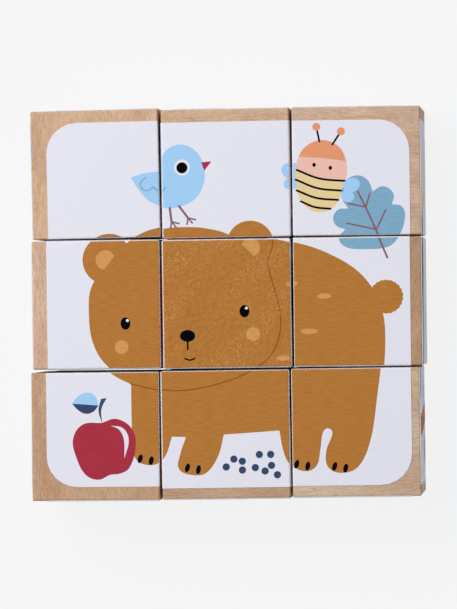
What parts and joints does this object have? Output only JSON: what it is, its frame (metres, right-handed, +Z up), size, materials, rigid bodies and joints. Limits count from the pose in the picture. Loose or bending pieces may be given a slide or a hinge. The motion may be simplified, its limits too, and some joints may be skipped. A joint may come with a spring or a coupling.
{
  "type": "picture cube puzzle",
  "caption": "Square block of loose wooden cubes that turn and change places; printed films on every face join up into pictures inside a bare wood border.",
  "frame": {"origin": "middle of the underside of the centre cube, on the table", "axes": "+Z up, out of the picture on top; +Y to the back, the top edge of that picture; +X to the right"},
  "size_m": [0.122, 0.1213, 0.04],
  "materials": {
    "bare_wood": "sanded and left bare, fine pores and grain showing",
    "printed_film": "thin printed transfer film, satin, with the wood grain showing faintly through it"
  },
  "bodies": {
    "back_left_cube": {"cube_back_left": "bare_wood", "bear_print_back_left": "printed_film", "tree_print_back_left": "printed_film", "snail_print_back_left": "printed_film", "owl_print_back_left": "printed_film", "fish_print_back_left": "printed_film", "boat_print_back_left": "printed_film"},
    "back_middle_cube": {"cube_back_middle": "bare_wood", "bear_print_back_middle": "printed_film", "tree_print_back_middle": "printed_film", "snail_print_back_middle": "printed_film", "owl_print_back_middle": "printed_film", "fish_print_back_middle": "printed_film", "boat_print_back_middle": "printed_film"},
    "back_right_cube": {"cube_back_right": "bare_wood", "bear_print_back_right": "printed_film", "tree_print_back_right": "printed_film", "snail_print_back_right": "printed_film", "owl_print_back_right": "printed_film", "fish_print_back_right": "printed_film", "boat_print_back_right": "printed_film"},
    "middle_left_cube": {"cube_middle_left": "bare_wood", "bear_print_middle_left": "printed_film", "tree_print_middle_left": "printed_film", "snail_print_middle_left": "printed_film", "owl_print_middle_left": "printed_film", "fish_print_middle_left": "printed_film", "boat_print_middle_left": "printed_film"},
    "centre_cube": {"cube_centre": "bare_wood", "bear_print_centre": "printed_film", "boat_print_centre": "printed_film"},
    "middle_right_cube": {"cube_middle_right": "bare_wood", "bear_print_middle_right": "printed_film", "tree_print_middle_right": "printed_film", "snail_print_middle_right": "printed_film", "owl_print_middle_right": "printed_film", "fish_print_middle_right": "printed_film", "boat_print_middle_right": "printed_film"},
    "front_left_cube": {"cube_front_left": "bare_wood", "bear_print_front_left": "printed_film", "tree_print_front_left": "printed_film", "snail_print_front_left": "printed_film", "owl_print_front_left": "printed_film", "fish_print_front_left": "printed_film", "boat_print_front_left": "printed_film"},
    "front_middle_cube": {"cube_front_middle": "bare_wood", "bear_print_front_middle": "printed_film", "tree_print_front_middle": "printed_film", "snail_print_front_middle": "printed_film", "owl_print_front_middle": "printed_film", "fish_print_front_middle": "printed_film", "boat_print_front_middle": "printed_film"},
    "front_right_cube": {"cube_front_right": "bare_wood", "bear_print_front_right": "printed_film", "tree_print_front_right": "printed_film", "snail_print_front_right": "printed_film", "owl_print_front_right": "printed_film", "fish_print_front_right": "printed_film", "boat_print_front_right": "printed_film"}
  },
  "joints": [
    {"name": "back_left_tip", "type": "hinge", "parent": "centre_cube", "child": "back_left_cube", "pos_m": [-0.04042, 0.06055, 0], "axis": [-1, -0.0087, 0], "range_deg": [0, 90]},
    {"name": "back_right_tip", "type": "hinge", "parent": "centre_cube", "child": "back_right_cube", "pos_m": [0.04062, 0.0603, 0], "axis": [-1, 0.0035, 0], "range_deg": [0, 90]},
    {"name": "front_left_tip", "type": "hinge", "parent": "centre_cube", "child": "front_left_cube", "pos_m": [-0.04139, -0.0605, 0], "axis": [1, -0.0044, 0], "range_deg": [0, 90]},
    {"name": "front_right_tip", "type": "hinge", "parent": "centre_cube", "child": "front_right_cube", "pos_m": [0.03937, -0.0602, 0], "axis": [1, 0.0009, 0], "range_deg": [0, 90]},
    {"name": "back_middle_slide", "type": "slide", "parent": "centre_cube", "child": "back_middle_cube", "axis": [-0.0035, 1, 0], "range_m": [0, 0.045]},
    {"name": "front_middle_slide", "type": "slide", "parent": "centre_cube", "child": "front_middle_cube", "axis": [0.0017, -1, 0], "range_m": [0, 0.045]},
    {"name": "middle_left_slide", "type": "slide", "parent": "centre_cube", "child": "middle_left_cube", "axis": [-1, 0, 0], "range_m": [0, 0.045]},
    {"name": "middle_right_slide", "type": "slide", "parent": "centre_cube", "child": "middle_right_cube", "axis": [1, -0.0026, 0], "range_m": [0, 0.045]}
  ]
}
